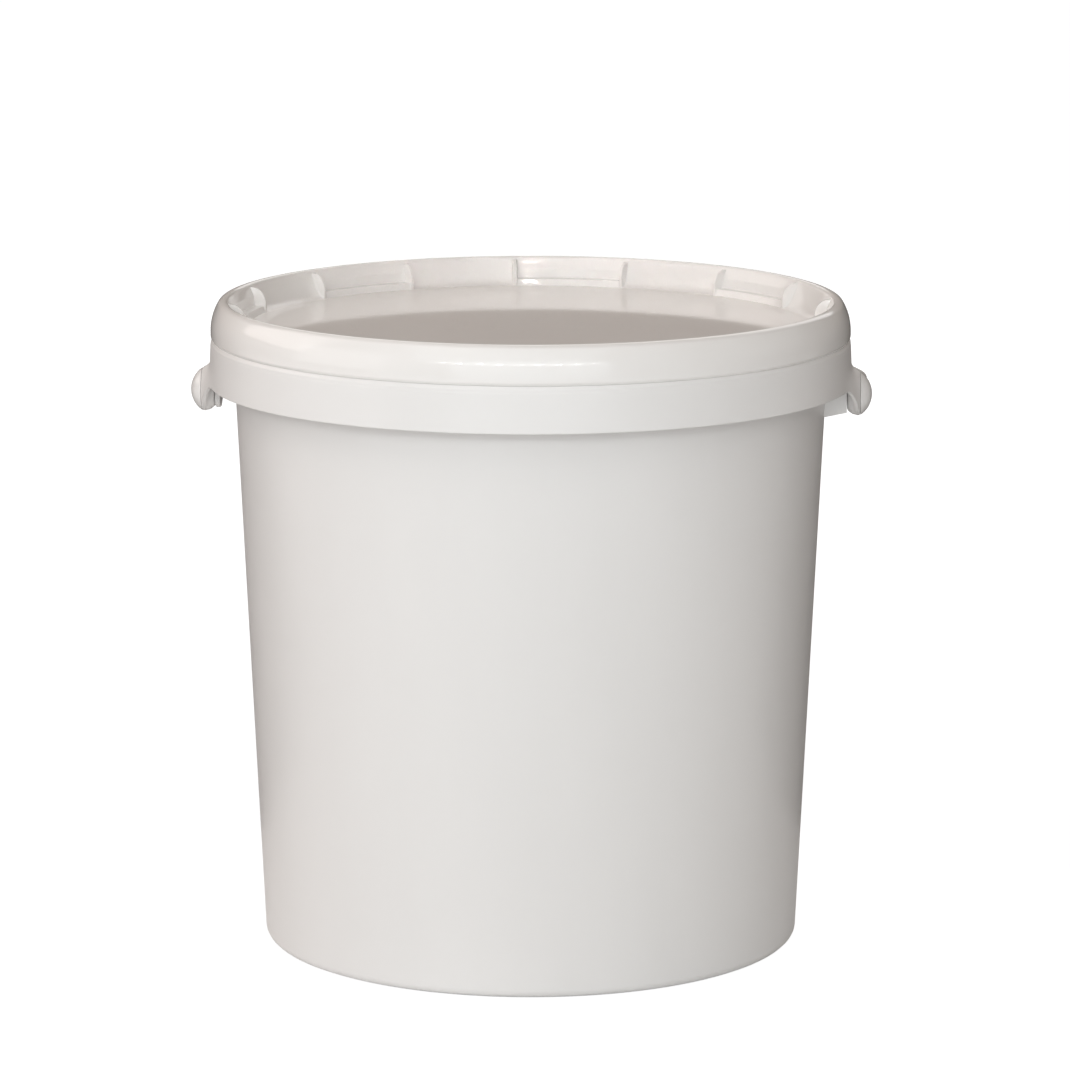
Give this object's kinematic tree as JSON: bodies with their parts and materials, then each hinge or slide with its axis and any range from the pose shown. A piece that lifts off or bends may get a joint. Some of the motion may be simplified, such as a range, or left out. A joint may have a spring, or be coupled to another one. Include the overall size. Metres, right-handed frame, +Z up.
{
  "type": "fermenting bucket",
  "caption": "Round white plastic fermenting bucket with a stiffened collar, a press-on sealed lid with a sunken panel, and a folding plastic bail handle.",
  "frame": {"origin": "centre of the base, on the surface that the bucket stands on", "axes": "+Z up out of the bucket's mouth, X through the two handle pivots, +Y towards the side where the handle is parked"},
  "size_m": [0.406, 0.3976, 0.386],
  "materials": {
    "bucket_plastic": "moulded white polypropylene, satin gloss",
    "lid_plastic": "moulded white polypropylene, gloss",
    "seal_rubber": "soft light grey thermoplastic rubber",
    "handle_plastic": "moulded white polypropylene, satin gloss"
  },
  "bodies": {
    "bucket": {"bucket": "bucket_plastic"},
    "lid": {"lid": "lid_plastic", "lid_seal": "seal_rubber"},
    "bail": {"bail_handle": "handle_plastic"}
  },
  "joints": [
    {"name": "lid_lift", "type": "slide", "parent": "bucket", "child": "lid", "axis": [0, 0, 1], "range_m": [0, 0.12]},
    {"name": "bail_swing", "type": "hinge", "parent": "bucket", "child": "bail", "pos_m": [0, 0, 0.33], "axis": [1, 0, 0], "range_deg": [0, 180]}
  ]
}
